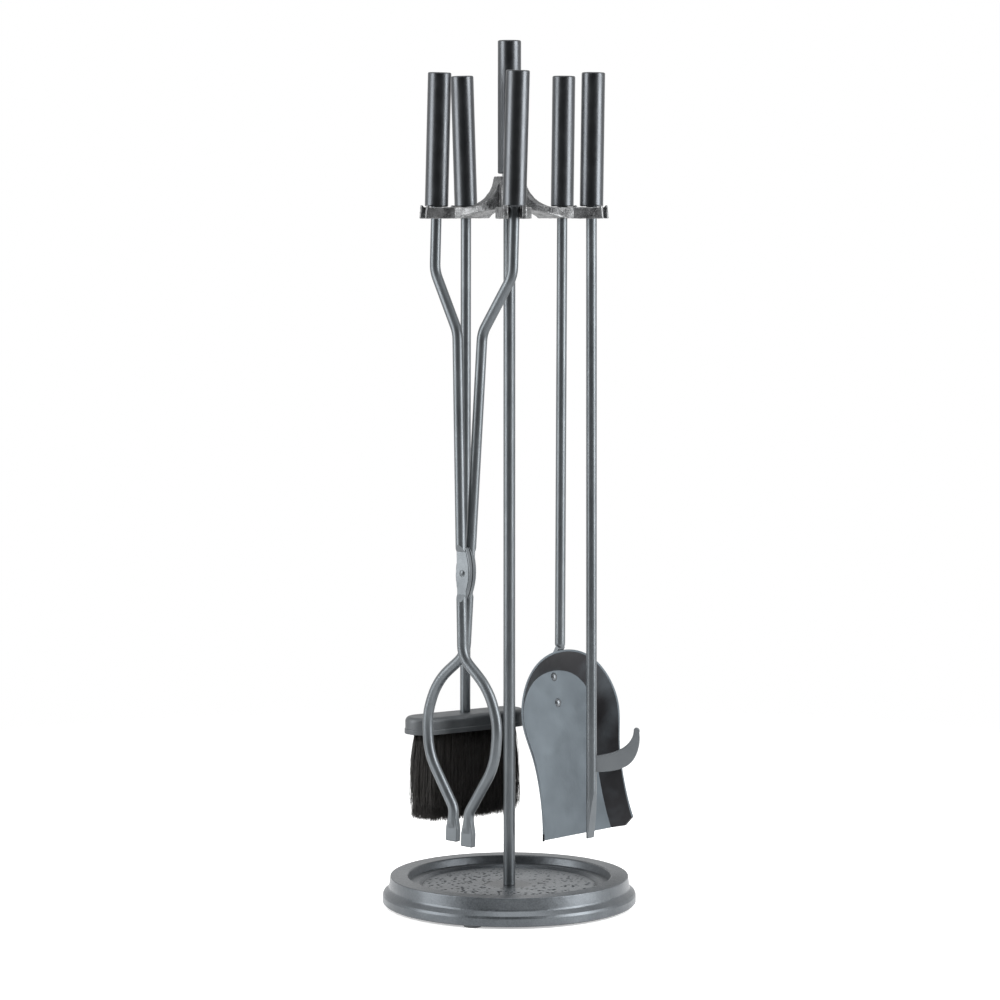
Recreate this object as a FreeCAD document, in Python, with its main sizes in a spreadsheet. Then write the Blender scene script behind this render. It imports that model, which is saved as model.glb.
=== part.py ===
import FreeCAD, Part

import math
import os
import re

import Sketcher
from FreeCAD import Placement, Rotation, Vector

# A free-standing fireplace tool set: a cast base, a post, a five-armed cast holder with a grip on top, and a
# poker, a shovel, a brush and a pair of tongs that hang in the holder's forks by the feet of their grips.
# Millimetres, +Z up. The origin is on the floor, on the post's axis. The tongs hang at the front left.

# ---------------------------------------------------------------- driving dimensions

SIZES = {
    # base casting, measured from the floor
    "pad_height": 2.0,
    "pad_radius": 8.0,
    "pad_inset": 10.5,
    "base_radius": 115.0,
    "base_edge": 1.2,
    "flange_top": 9.2,
    "flange_slope": 1.0,
    "flange_rise": 2.2,
    "cove_inset": 5.7,
    "cove_top": 15.5,
    "cove_edge": 2.6,
    "rim_inset": 7.0,
    "rim_top": 26.4,
    "rim_edge": 0.9,
    "rim_inner_edge": 1.6,
    "rim_width": 15.7,
    "rim_slope": 2.0,
    "ledge_top": 19.6,
    "ledge_width": 8.8,
    "bowl_slope": 2.5,
    "bowl_floor": 17.0,
    "floor_wall": 6.0,
    "skirt_wall": 7.5,
    "skirt_draft": 2.0,
    "boss_radius": 15.0,
    "boss_draft": 1.0,
    "boss_drop": 2.5,
    # post and its fasteners
    "post_radius": 5.35,
    "post_edge": 0.5,
    "bolt_radius": 3.0,
    "bolt_clearance": 0.3,
    "bolt_length": 32.0,
    "bolt_head_radius": 5.7,
    "bolt_head_height": 3.2,
    "washer_radius": 8.0,
    "washer_thickness": 1.0,
    "stud_radius": 4.0,
    "stud_depth": 20.0,
    "nut_radius": 6.6,
    # holder casting
    "seat_height": 630.0,
    "seat_ring_margin": 21.8,
    "seat_ring_shift": 4.1,
    "hub_radius": 11.8,
    "hub_edge": 1.2,
    "hub_drop": 3.5,
    "hub_rise": 27.3,
    "fillet_radius": 30.0,
    "fork_thickness": 10.0,
    "fork_past_grip": 2.625,
    "fork_end_draft": 1.2,
    "fork_wall": 3.5,
    "fork_root_width": 32.0,
    "fork_length": 26.0,
    "arm_width": 18.0,
    "arm_arch": 8.0,
    "slot_clearance": 3.1,
    "slot_depth": 3.0,
    "lip_height": 1.9,
    "lip_length": 2.4,
    "lip_flat": 0.8,
    # grips, all six alike
    "grip_radius": 10.4,
    "grip_length": 118.0,
    "grip_wall": 1.5,
    "grip_edge": 1.1,
    "plug_thickness": 4.0,
    "plug_edge": 0.6,
    "collar_length": 24.0,
    "collar_recess": 1.0,
    "tenon_radius": 4.0,
    "tenon_length": 18.0,
    "grip_clearance": 0.6,
    "stand_grip_gap": 2.5,
    # rods of the tools
    "rod_radius": 4.75,
    # poker
    "poker_end": 63.4,
    "poker_tip_length": 44.0,
    "poker_tip_thickness": 4.2,
    "hook_height": 124.0,
    "hook_reach": 43.0,
    "hook_rise": 39.5,
    "hook_root_height": 14.0,
    "hook_tip_width": 5.0,
    "hook_thickness": 5.0,
    "hook_edge": 0.6,
    # shovel
    "pan_height": 164.0,
    "pan_turn": 49.0,
    "pan_tilt": 11.0,
    "pan_skew": 0.9,
    "pan_back": 39.9,
    "pan_front": 110.6,
    "pan_half_width": 51.5,
    "pan_waist_inset": 9.0,
    "pan_mouth_inset": 2.0,
    "pan_mouth_skew": 1.5,
    "pan_wall_height": 14.0,
    "pan_wall_flare": 16.3,
    "pan_sheet": 1.2,
    "pan_corner_cut": 7.0,
    "pan_corner_height": 6.0,
    "strap_width": 13.0,
    "strap_thickness": 4.0,
    "strap_end": 2.0,
    "strap_clearance": 0.8,
    "strap_neck": 8.6,
    "strap_corner": 1.0,
    "rivet_radius": 2.4,
    "rivet_head_radius": 4.1,
    "rivet_head_height": 2.3,
    "rivet_upper": 34.4,
    "rivet_lower": 10.4,
    # brush
    "brush_top": 166.3,
    "brush_turn": 34.0,
    "brush_length": 126.0,
    "brush_width": 35.0,
    "brush_height": 15.4,
    "brush_edge": 4.5,
    "brush_bead": 1.2,
    "brush_socket": 12.0,
    "bristle_length": 82.9,
    "bristle_inset": 4.0,
    "bristle_spread": 2.5,
    # tongs: handle and knee down from the seats, everything lower up from the floor
    "tongs_lean": 1.85,
    "tongs_handle": 58.0,
    "tongs_knee_half": 9.6,
    "tongs_knee": 110.5,
    "tongs_pivot": 306.0,
    "tongs_throat_half": 2.6,
    "tongs_throat": 231.5,
    "tongs_shoulder_half": 33.0,
    "tongs_shoulder": 205.0,
    "tongs_jaw_half": 43.5,
    "tongs_jaw": 174.0,
    "tongs_cheek_half": 41.0,
    "tongs_cheek": 138.0,
    "tongs_foot_half": 12.6,
    "tongs_foot": 92.0,
    "tongs_end": 61.5,
    "tongs_knee_shift": -2.2,
    "tongs_foot_shift": 1.4,
    "tongs_bend": 24.0,
    "tongs_jaw_bend": 62.0,
    "foot_width": 12.8,
    "foot_thickness": 6.2,
    "foot_height": 19.0,
    "foot_taper": 7.0,
    "eye_width": 15.0,
    "eye_height": 46.0,
    "eye_flat": 38.0,
    "eye_flat_ramp": 7.0,
    "eye_thickness": 5.0,
    "pivot_washer_thickness": 1.1,
    "pivot_washer_radius": 6.0,
    "pivot_radius": 2.5,
    "pivot_clearance": 0.05,
    "pivot_head_radius": 3.0,
    "pivot_head_height": 1.1,
    "pivot_play": 0.05,
}

PAD_START = -108.0  # angle of the foot pad nearest the front
PAD_COUNT = 3

# The direction of each seat from the ring's centre, and how far along and across its slot the tool hangs.
SEAT_ANGLE = {"tongs_left": 198.0, "tongs_right": 270.0, "poker": -18.0, "shovel": 54.0, "brush": 126.0}
ALONG_SLOT = {"tongs_left": -1.0, "poker": -1.2, "shovel": 0.8, "brush": 0.8}
ACROSS_SLOT = {"shovel": -0.7}
# Degrees that a tool's rod and its grip lean towards +X at the top, as they hang.
ROD_LEAN = {"poker": -0.13, "shovel": 0.2, "brush": 0.13}
GRIP_LEAN = {"poker": 0.7, "shovel": 0.65, "brush": -1.7}

POKER_TIP_TURN = -40.0  # the way the poker's wedge faces, from +X
POKER_TIP_SIDE_CUT = 0.3
POKER_TIP_SIDE_SHARE = 0.8
EYE_EDGE = 0.8
FOOT_EDGE = 1.0
FOOT_SHOULDER = 1.0
FOOT_BEND_SHARE = 0.6

# Curves as shares of the size they follow.
EDGE_SHARE = 0.3  # a rounded corner's middle lies this share of it away from both of its sides
ARM_UNDERSIDE = (0.66, 0.62)  # of the length to the fork's root, of the arch
NECK_PLAN = ((0.55, 0.0), (-6.0, 0.8), (2.0, 1.0))  # share of the root or offset from it, share of the fork
HOOK_OUTER = ((0.48, 0.03), (0.82, 0.2), (0.98, 0.53), (1.0, 0.9))  # of its reach, of its rise
HOOK_TIP_RISE = 0.92
HOOK_TIP_MIDDLE = 0.55
HOOK_INNER = ((0.78, 0.65), (0.5, 0.1))
HOOK_START = 0.5  # of the rod's radius
PAN_SHOULDER = (0.66, 0.75)  # of its half width, of its back
PAN_SIDES = (0.26, 0.58)  # of its front
PAN_BELLY_INSET = 1.4
PAN_WIDEST = 2.0
BRUSH_BEAD_SHARE = 0.3
BRUSH_BEAD_ROUND = 0.9
RIVET_TAIL_SHARE = 0.8
SPARE = 4.0  # how far a cutting shape runs past what it cuts

HUB_BOTTOM = "seat_height - hub_drop"
HUB_TOP = "seat_height + hub_rise"
RIM = "base_radius - rim_inset"
RIM_INNER = RIM + " - rim_width"
LEDGE = RIM_INNER + " - rim_slope"
LEDGE_INNER = LEDGE + " - ledge_width"
BOWL = LEDGE_INNER + " - bowl_slope"
COVE = "base_radius - cove_inset"
BASE_UNDERSIDE = "bowl_floor - floor_wall"
BOSS_FOOT = BASE_UNDERSIDE + " - boss_drop"

doc = FreeCAD.newDocument("fireplace_tool_set")
sheet = doc.addObject("Spreadsheet::Sheet", "sizes")
for row, (alias, value) in enumerate(SIZES.items(), start=1):
    sheet.set("A%d" % row, alias)
    sheet.set("B%d" % row, str(value))
    sheet.setAlias("B%d" % row, alias)
doc.recompute()

nodes = []  # the document's sub-parts, in the order they are written


def size(alias):
    """The value of one driving dimension, read from the sheet."""
    return float(sheet.getContents(sheet.getCellFromAlias(alias)))


def bound(text):
    """An expression in plain aliases, as FreeCAD's expression engine wants it."""
    return re.sub(r"[a-z_]+", lambda word: ("sizes." if word[0] in SIZES else "") + word[0], text)


def value(text):
    return float(sheet.evalExpression(bound(text)))


def bind(item, **sizes):
    for name, text in sizes.items():
        item.setExpression(name, bound(text))


def named(item, label, place=None):
    """Give a finished sub-part its name and place, and list it for writing."""
    item.Label = label
    if place is not None:
        item.Placement = place
    nodes.append(item)
    return item


def placed(base, rotation=None):
    return Placement(base, rotation or Rotation())


# ---------------------------------------------------------------- PartDesign helpers


def new_body(name):
    body = doc.addObject("PartDesign::Body", name)
    body.AllowCompound = True
    return body


def plane_of(body, role):
    return [item for item in body.Origin.OriginFeatures if item.Role == role][0]


def new_sketch(body, role, name, lift=None):
    sketch = body.newObject("Sketcher::SketchObject", name)
    sketch.AttachmentSupport = [(plane_of(body, role), "")]
    sketch.MapMode = "FlatFace"
    if lift:
        sketch.setExpression("AttachmentOffset.Base.z", bound(lift))
    return sketch


def fix(sketch, kind, index, place, text):
    """Tie one point of a sketch to the origin by an expression."""
    number = sketch.addConstraint(Sketcher.Constraint(kind, -1, 1, index, place, value(text)))
    sketch.setExpression("Constraints[%d]" % number, bound(text))


def draw_outline(sketch, corners):
    """A closed outline of straight lines, each corner tied to the sheet."""
    points = [Vector(value(x), value(y), 0) for x, y in corners]
    for index, point in enumerate(points):
        sketch.addGeometry(Part.LineSegment(point, points[(index + 1) % len(points)]))
    for index in range(len(points)):
        following = (index + 1) % len(points)
        sketch.addConstraint(Sketcher.Constraint("Coincident", index, 2, following, 1))
    for index, (x, y) in enumerate(corners):
        fix(sketch, "DistanceX", index, 1, x)
        fix(sketch, "DistanceY", index, 1, y)


def draw_circle(sketch, x, y, radius):
    circle = Part.Circle(Vector(value(x), value(y), 0), Vector(0, 0, 1), value(radius))
    index = sketch.addGeometry(circle)
    fix(sketch, "DistanceX", index, 3, x)
    fix(sketch, "DistanceY", index, 3, y)
    number = sketch.addConstraint(Sketcher.Constraint("Radius", index, value(radius)))
    sketch.setExpression("Constraints[%d]" % number, bound(radius))


def turned(body, corners):
    """A revolution about the body's Z axis of an outline given as (radius, height)."""
    sketch = new_sketch(body, "XZ_Plane", body.Name + "_profile")
    draw_outline(sketch, corners)
    revolution = body.newObject("PartDesign::Revolution", body.Name + "_turned")
    revolution.Profile = sketch
    revolution.ReferenceAxis = (sketch, ["V_Axis"])
    revolution.Angle = 360.0
    sketch.Visibility = False
    doc.recompute()
    return revolution


def rounded(body, feature, radius, wanted):
    """Round the edges of the body's last feature that wanted() picks."""
    edges = ["Edge%d" % (n + 1) for n, edge in enumerate(feature.Shape.Edges) if wanted(edge)]
    fillet = body.newObject("PartDesign::Fillet", feature.Name + "_rounded")
    fillet.Base = (feature, edges)
    bind(fillet, Radius=radius)
    doc.recompute()
    return fillet


def ring_at(radius, height):
    """A test for the circular edge of this radius at this height."""
    def test(edge):
        if not isinstance(edge.Curve, Part.Circle):
            return False
        return abs(edge.Curve.Radius - radius) < 0.01 and abs(edge.Curve.Center.z - height) < 0.01
    return test


# ---------------------------------------------------------------- Part helpers


def solid_feature(name, shape):
    feature = doc.addObject("Part::Feature", name)
    feature.Shape = shape
    return feature


def cylinder(name, radius, height, base=None):
    item = doc.addObject("Part::Cylinder", name)
    bind(item, Radius=radius, Height=height)
    item.Placement = placed(base or Vector())
    return item


def hexagon(name, radius, height, base=None):
    item = doc.addObject("Part::Prism", name)
    item.Polygon = 6
    bind(item, Circumradius=radius, Height=height)
    item.Placement = placed(base or Vector())
    return item


def joined(name, kind, base, tool):
    item = doc.addObject(kind, name)
    item.Base = base
    item.Tool = tool
    return item


def rounded_path(points, radii):
    """Straight runs through the points, joined at each inner point by a tangent arc of the given radius."""
    edges = []
    start = points[0]
    for before, corner, after, radius in zip(points, points[1:], points[2:], radii):
        arriving = (corner - before).normalize()
        leaving = (after - corner).normalize()
        half_turn = arriving.getAngle(leaving) / 2
        reach = radius * math.tan(half_turn)
        first = corner - arriving * reach
        last = corner + leaving * reach
        inward = (leaving - arriving).normalize()
        middle = corner + inward * (radius / math.cos(half_turn) - radius)
        edges.append(Part.LineSegment(start, first).toShape())
        edges.append(Part.Arc(first, middle, last).toShape())
        start = last
    edges.append(Part.LineSegment(start, points[-1]).toShape())
    return Part.Wire(edges)


def rod_along(path, radius):
    start = path.Edges[0]
    direction = start.tangentAt(start.FirstParameter)
    section = Part.Wire(Part.Circle(start.valueAt(start.FirstParameter), direction, radius).toShape())
    return path.makePipeShell([section], True, False)


def outline_face(edges):
    return Part.Face(Part.Wire(edges))


def polygon_face(points):
    return Part.Face(Part.makePolygon(points + [points[0]]))


def spline(points, **tangents):
    curve = Part.BSplineCurve()
    curve.interpolate(Points=points, **tangents)
    return curve


# ---------------------------------------------------------------- base


def build_base():
    body = new_body("base_casting")
    corners = [
        ("bolt_radius + bolt_clearance", "bowl_floor"),
        (BOWL, "bowl_floor"),
        (LEDGE_INNER, "ledge_top"),
        (LEDGE, "ledge_top"),
        (RIM_INNER, "rim_top"),
        (RIM, "rim_top"),
        (COVE, "cove_top"),
        ("base_radius - flange_slope", "flange_top + flange_rise"),
        ("base_radius", "flange_top"),
        ("base_radius", "pad_height + base_edge"),
        ("base_radius - base_edge", "pad_height"),
        (COVE + " - skirt_wall + skirt_draft", "pad_height"),
        (COVE + " - skirt_wall", BASE_UNDERSIDE),
        ("boss_radius + boss_draft", BASE_UNDERSIDE),
        ("boss_radius", BOSS_FOOT),
        ("bolt_radius + bolt_clearance", BOSS_FOOT),
    ]
    feature = turned(body, corners)
    feature = rounded(body, feature, "rim_edge", ring_at(value(RIM), value("rim_top")))
    feature = rounded(body, feature, "rim_inner_edge", ring_at(value(RIM_INNER), value("rim_top")))
    feature = rounded(body, feature, "cove_edge", ring_at(value(COVE), value("cove_top")))
    named(body, "base_casting")


def build_foot_pads():
    body = new_body("foot_pads")
    sketch = new_sketch(body, "XY_Plane", "foot_pad_outline")
    ring = "(base_radius - pad_inset) * %s(" + "%f deg)" % PAD_START
    draw_circle(sketch, ring % "cos", ring % "sin", "pad_radius")
    pad = body.newObject("PartDesign::Pad", "foot_pad")
    pad.Profile = sketch
    bind(pad, Length="pad_height")
    doc.recompute()
    ring = body.newObject("PartDesign::PolarPattern", "foot_pad_ring")
    ring.Originals = [pad]
    ring.Axis = (sketch, ["N_Axis"])
    ring.Angle = 360.0
    ring.Occurrences = PAD_COUNT
    body.Tip = ring
    doc.recompute()
    named(body, "foot_pads")


def build_base_fasteners():
    washer_base = value(BOSS_FOOT + " - washer_thickness")
    outer = cylinder("washer_blank", "washer_radius", "washer_thickness")
    inner = cylinder("washer_hole", "bolt_radius + bolt_clearance", "washer_thickness")
    washer = joined("base_washer", "Part::Cut", outer, inner)
    named(washer, "base_washer", placed(Vector(0, 0, washer_base)))
    head = hexagon("bolt_head", "bolt_head_radius", "bolt_head_height")
    shank = cylinder("bolt_shank", "bolt_radius", "bolt_length + bolt_head_height")
    bolt = joined("base_bolt", "Part::Fuse", head, shank)
    named(bolt, "base_bolt", placed(Vector(0, 0, washer_base - size("bolt_head_height"))))


def build_post():
    body = new_body("post_rod")
    bolt_end = BOSS_FOOT + " - washer_thickness + bolt_length"
    corners = [
        ("bolt_radius", "bowl_floor"),
        ("post_radius - post_edge", "bowl_floor"),
        ("post_radius", "bowl_floor + post_edge"),
        ("post_radius", HUB_BOTTOM),
        ("stud_radius", HUB_BOTTOM),
        ("stud_radius", HUB_BOTTOM + " - stud_depth"),
        ("0 * stud_radius", HUB_BOTTOM + " - stud_depth"),
        ("0 * stud_radius", bolt_end),
        ("bolt_radius", bolt_end),
    ]
    turned(body, corners)
    named(body, "post_rod")


# ---------------------------------------------------------------- holder


def fork(name):
    """The middle of a fork, seen from the hub's axis: the five lie on a ring shifted towards +X."""
    angle = math.radians(SEAT_ANGLE[name])
    ring = size("pan_half_width") + size("seat_ring_margin")
    return Vector(size("seat_ring_shift") + ring * math.cos(angle), ring * math.sin(angle), 0)


def slot_half():
    return size("rod_radius") + size("slot_clearance") / 2


def seat(name):
    """Where a rod hangs in its fork, at the height of the seat."""
    middle = fork(name)
    reach = middle.Length + ALONG_SLOT.get(name, 0.0)
    outward = middle.normalize()
    sideways = Vector(-outward.y, outward.x, 0) * ACROSS_SLOT.get(name, 0.0)
    return outward * reach + sideways + Vector(0, 0, size("seat_height"))


def down_to(alias):
    """How far below the seats a level lies that is given from the floor."""
    return size("seat_height") - size(alias)


def holder_arm(length):
    """One arm along +X from the hub's axis, with its fork centred on a rod at this length."""
    top = size("seat_height")
    bottom = top - size("fork_thickness")
    tip = length + math.sqrt(size("grip_radius") ** 2 - slot_half() ** 2) + size("fork_past_grip")
    foot = tip + size("fork_end_draft")
    curve = size("fillet_radius")
    hub = size("hub_radius")
    crest = Vector(hub + curve, 0, top)
    arc_middle = Vector(hub + curve - curve * math.sin(math.radians(45)), 0,
                        top + curve - curve * math.cos(math.radians(45)))
    arc_end = Vector(hub, 0, top + curve)
    arch = bottom + size("arm_arch")
    root = foot - size("fork_length") - size("fork_end_draft")
    under_middle = Vector(root * ARM_UNDERSIDE[0], 0, bottom + size("arm_arch") * ARM_UNDERSIDE[1])
    side = [
        Part.LineSegment(Vector(0, 0, arch), Vector(0, 0, top + curve)).toShape(),
        Part.LineSegment(Vector(0, 0, top + curve), arc_end).toShape(),
        Part.Arc(arc_end, arc_middle, crest).toShape(),
        Part.LineSegment(crest, Vector(tip - size("lip_length"), 0, top)).toShape(),
        Part.LineSegment(Vector(tip - size("lip_length"), 0, top),
                         Vector(tip - size("lip_flat"), 0, top + size("lip_height"))).toShape(),
        Part.LineSegment(Vector(tip - size("lip_flat"), 0, top + size("lip_height")),
                         Vector(tip, 0, top + size("lip_height"))).toShape(),
        Part.LineSegment(Vector(tip, 0, top + size("lip_height")), Vector(foot, 0, bottom)).toShape(),
        Part.LineSegment(Vector(foot, 0, bottom), Vector(root, 0, bottom)).toShape(),
        Part.Arc(Vector(root, 0, bottom), under_middle, Vector(hub, 0, arch)).toShape(),
        Part.LineSegment(Vector(hub, 0, arch), Vector(0, 0, arch)).toShape(),
    ]
    width = size("fork_root_width") + SPARE
    strap = outline_face(side).extrude(Vector(0, width, 0))
    strap.translate(Vector(0, -width / 2, 0))
    narrow = size("arm_width") / 2
    wide = size("fork_root_width") / 2
    end = slot_half() + size("fork_wall")
    waist, flare, shoulder = NECK_PLAN
    flank = [Vector(0, narrow, 0), Vector(root * waist[0], narrow, 0), Vector(root + flare[0], wide * flare[1], 0),
             Vector(root + shoulder[0], wide * shoulder[1], 0)]
    mirror = [Vector(point.x, -point.y, 0) for point in reversed(flank)]
    plan = [
        spline(flank).toShape(),
        Part.LineSegment(flank[-1], Vector(foot, end, 0)).toShape(),
        Part.LineSegment(Vector(foot, end, 0), Vector(foot, -end, 0)).toShape(),
        Part.LineSegment(Vector(foot, -end, 0), mirror[0]).toShape(),
        spline(mirror).toShape(),
        Part.LineSegment(Vector(0, -narrow, 0), Vector(0, narrow, 0)).toShape(),
    ]
    outline = outline_face(plan).extrude(Vector(0, 0, 2 * curve + size("fork_thickness") + SPARE))
    outline.translate(Vector(0, 0, bottom - SPARE))
    return strap.common(outline)


def fork_slot(length):
    """The space a rod hangs in, open at the fork's outer end."""
    half = slot_half()
    inner = length - size("slot_depth")
    depth = size("fork_thickness") + size("lip_height") + 2 * SPARE
    bottom = size("seat_height") - size("fork_thickness") - SPARE
    round_end = Part.makeCylinder(half, depth, Vector(inner, 0, bottom))
    channel = Part.makeBox(3 * size("grip_radius"), 2 * half, depth, Vector(inner, -half, bottom))
    return round_end.fuse(channel)


def build_holder():
    edge = size("hub_edge")
    hub = size("hub_radius")
    bore_radius = size("stud_radius")
    bottom = value(HUB_BOTTOM)
    top = value(HUB_TOP)
    profile = polygon_face([
        Vector(bore_radius, 0, bottom),
        Vector(hub - edge, 0, bottom),
        Vector(hub, 0, bottom + edge),
        Vector(hub, 0, top - edge),
        Vector(hub - edge, 0, top),
        Vector(bore_radius, 0, top),
    ])
    casting = profile.revolve(Vector(), Vector(0, 0, 1), 360)
    arms = []
    slots = []
    for name in SEAT_ANGLE:
        middle = fork(name)
        turn = math.degrees(math.atan2(middle.y, middle.x))
        arm = holder_arm(middle.Length)
        slot = fork_slot(middle.Length)
        arm.rotate(Vector(), Vector(0, 0, 1), turn)
        slot.rotate(Vector(), Vector(0, 0, 1), turn)
        arms.append(arm)
        slots.append(slot)
    casting = casting.multiFuse(arms)
    above = Part.makeCylinder(hub + size("fillet_radius"), size("fillet_radius"), Vector(0, 0, top))
    bore = Part.makeCylinder(bore_radius, 2 * size("fillet_radius"), Vector(0, 0, bottom - SPARE))
    casting = casting.cut(slots + [above, bore]).removeSplitter()
    named(solid_feature("holder_casting", casting), "holder_casting")


def build_holder_fasteners():
    stud_base = value(HUB_BOTTOM + " - stud_depth")
    stud = cylinder("holder_stud", "stud_radius", "hub_rise + hub_drop + 2 * stud_depth")
    named(stud, "holder_stud", placed(Vector(0, 0, stud_base)))
    blank = hexagon("nut_blank", "nut_radius", "stand_grip_gap")
    hole = cylinder("nut_hole", "stud_radius", "stand_grip_gap")
    nut = joined("lock_nut", "Part::Cut", blank, hole)
    named(nut, "lock_nut", placed(Vector(0, 0, value(HUB_TOP))))


# ---------------------------------------------------------------- grips


def build_grip(name, place, bore="tenon_radius"):
    """A tube closed by a plug at the top, with a collar in its foot that the rod screws into."""
    sleeve = new_body(name + "_grip_sleeve")
    near = "%s * grip_edge" % EDGE_SHARE
    turned(sleeve, [
        ("grip_radius - grip_wall", "0 * grip_wall"),
        ("grip_radius - grip_edge", "0 * grip_wall"),
        ("grip_radius - " + near, near),
        ("grip_radius", "grip_edge"),
        ("grip_radius", "grip_length - grip_edge"),
        ("grip_radius - " + near, "grip_length - " + near),
        ("grip_radius - grip_edge", "grip_length"),
        ("grip_radius - grip_wall", "grip_length"),
    ])
    named(sleeve, name + "_grip_sleeve", place)
    plug = new_body(name + "_grip_plug")
    turned(plug, [
        ("0 * grip_wall", "grip_length - plug_thickness"),
        ("grip_radius - grip_wall", "grip_length - plug_thickness"),
        ("grip_radius - grip_wall", "grip_length - plug_edge"),
        ("grip_radius - grip_wall - plug_edge", "grip_length"),
        ("0 * grip_wall", "grip_length"),
    ])
    named(plug, name + "_grip_plug", place)
    collar = new_body(name + "_grip_collar")
    turned(collar, [
        (bore, "collar_recess"),
        ("grip_radius - grip_wall", "collar_recess"),
        ("grip_radius - grip_wall", "collar_recess + collar_length"),
        (bore, "collar_recess + collar_length"),
    ])
    named(collar, name + "_grip_collar", place)


def lean(degrees):
    """A turn that moves the top of an upright thing towards +X."""
    return Rotation(Vector(0, 1, 0), degrees)


def grip_place(name):
    """The place of a hanging tool's grip: its foot just over the fork, leaning as it hangs."""
    foot = seat(name) + Vector(0, 0, size("grip_clearance"))
    return placed(foot, lean(GRIP_LEAN[name]))


def tool_place(name):
    """The frame of a hanging tool: its origin at the foot of its grip, its rod down -Z."""
    foot = seat(name) + Vector(0, 0, size("grip_clearance"))
    return placed(foot, lean(ROD_LEAN[name]))


def tenon(name):
    """The rod's thinner top, which follows the grip's lean, in the tool's own frame."""
    recess = size("collar_recess")
    pin = Part.makeCylinder(size("tenon_radius"), size("tenon_length") + recess, Vector(0, 0, -recess))
    neck = Part.makeCylinder(size("rod_radius"), recess, Vector(0, 0, 0))
    pin = pin.fuse(neck)
    pin.rotate(Vector(), Vector(0, 1, 0), GRIP_LEAN[name] - ROD_LEAN[name])
    return pin


def straight_rod(name, length):
    """A plain rod of this length under the grip, with its tenon."""
    rod = Part.makeCylinder(size("rod_radius"), length, Vector(0, 0, -length))
    return rod.fuse(tenon(name))


# ---------------------------------------------------------------- poker


def build_poker():
    length = down_to("poker_end")
    radius = size("rod_radius")
    rod = straight_rod("poker", length)
    tip = size("poker_tip_length")
    depth = 2 * radius - size("poker_tip_thickness")
    past = 4 * radius
    wedge = polygon_face([
        Vector(radius, -past, -length + tip),
        Vector(radius - depth, -past, -length),
        Vector(radius - depth, -past, -length - past),
        Vector(past, -past, -length - past),
        Vector(past, -past, -length + tip),
    ]).extrude(Vector(0, 2 * past, 0))
    wedge.rotate(Vector(), Vector(0, 0, 1), POKER_TIP_TURN)
    side_cuts = []
    for side in (1, -1):
        flat = Part.makeBox(past, 2 * past, tip * POKER_TIP_SIDE_SHARE,
                            Vector(radius - POKER_TIP_SIDE_CUT, -past, -length))
        flat.rotate(Vector(), Vector(0, 0, 1), 90 * side + POKER_TIP_TURN)
        side_cuts.append(flat)
    rod = rod.cut([wedge] + side_cuts)
    named(solid_feature("poker_rod", rod), "poker_rod", tool_place("poker"))

    drop = -down_to("hook_height")
    reach = size("hook_reach")
    rise = size("hook_rise")
    root = size("hook_root_height")
    tip_width = size("hook_tip_width")
    start = radius * HOOK_START
    outside = [Vector(start, 0, drop)]
    outside += [Vector(reach * along, 0, drop + rise * up) for along, up in HOOK_OUTER]
    tip_inside = Vector(reach - tip_width, 0, drop + rise * HOOK_TIP_RISE)
    (bow_along, bow_up), (root_along, root_up) = HOOK_INNER
    inside = [
        tip_inside,
        Vector(reach * bow_along, 0, drop + rise * bow_up),
        Vector(reach * root_along, 0, drop + root + rise * root_up),
        Vector(start, 0, drop + root),
    ]
    outer = spline(outside)
    inner = spline(inside)
    cap = Part.Arc(outside[-1], Vector(reach - tip_width * HOOK_TIP_MIDDLE, 0, drop + rise), tip_inside)
    back = Part.LineSegment(Vector(start, 0, drop + root), Vector(start, 0, drop))
    plate = outline_face([outer.toShape(), cap.toShape(), inner.toShape(), back.toShape()])
    plate = plate.extrude(Vector(0, size("hook_thickness"), 0))
    plate.translate(Vector(0, -size("hook_thickness") / 2, 0))
    plate = plate.makeFillet(size("hook_edge"), [edge for edge in plate.Edges if edge.BoundBox.YLength < 0.01])
    plate = plate.cut(Part.makeCylinder(radius, length, Vector(0, 0, -length)))
    named(solid_feature("poker_hook", plate), "poker_hook", tool_place("poker"))


# ---------------------------------------------------------------- shovel


def pan_frame():
    """Pan coordinates in the shovel's frame: X across, Y up the pan, Z out of its floor."""
    turn = math.radians(size("pan_turn"))
    tilt = math.radians(size("pan_tilt"))
    across = Vector(math.cos(turn), math.sin(turn), 0)
    level = Vector(math.sin(turn), -math.cos(turn), 0)
    outward = level * math.cos(tilt) + Vector(0, 0, math.sin(tilt))
    up = outward.cross(across)
    square = Rotation(across, up, outward, "XYZ")
    return placed(Vector(0, 0, -down_to("pan_height")), square.multiply(Rotation(Vector(0, 0, 1), size("pan_skew"))))


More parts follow.
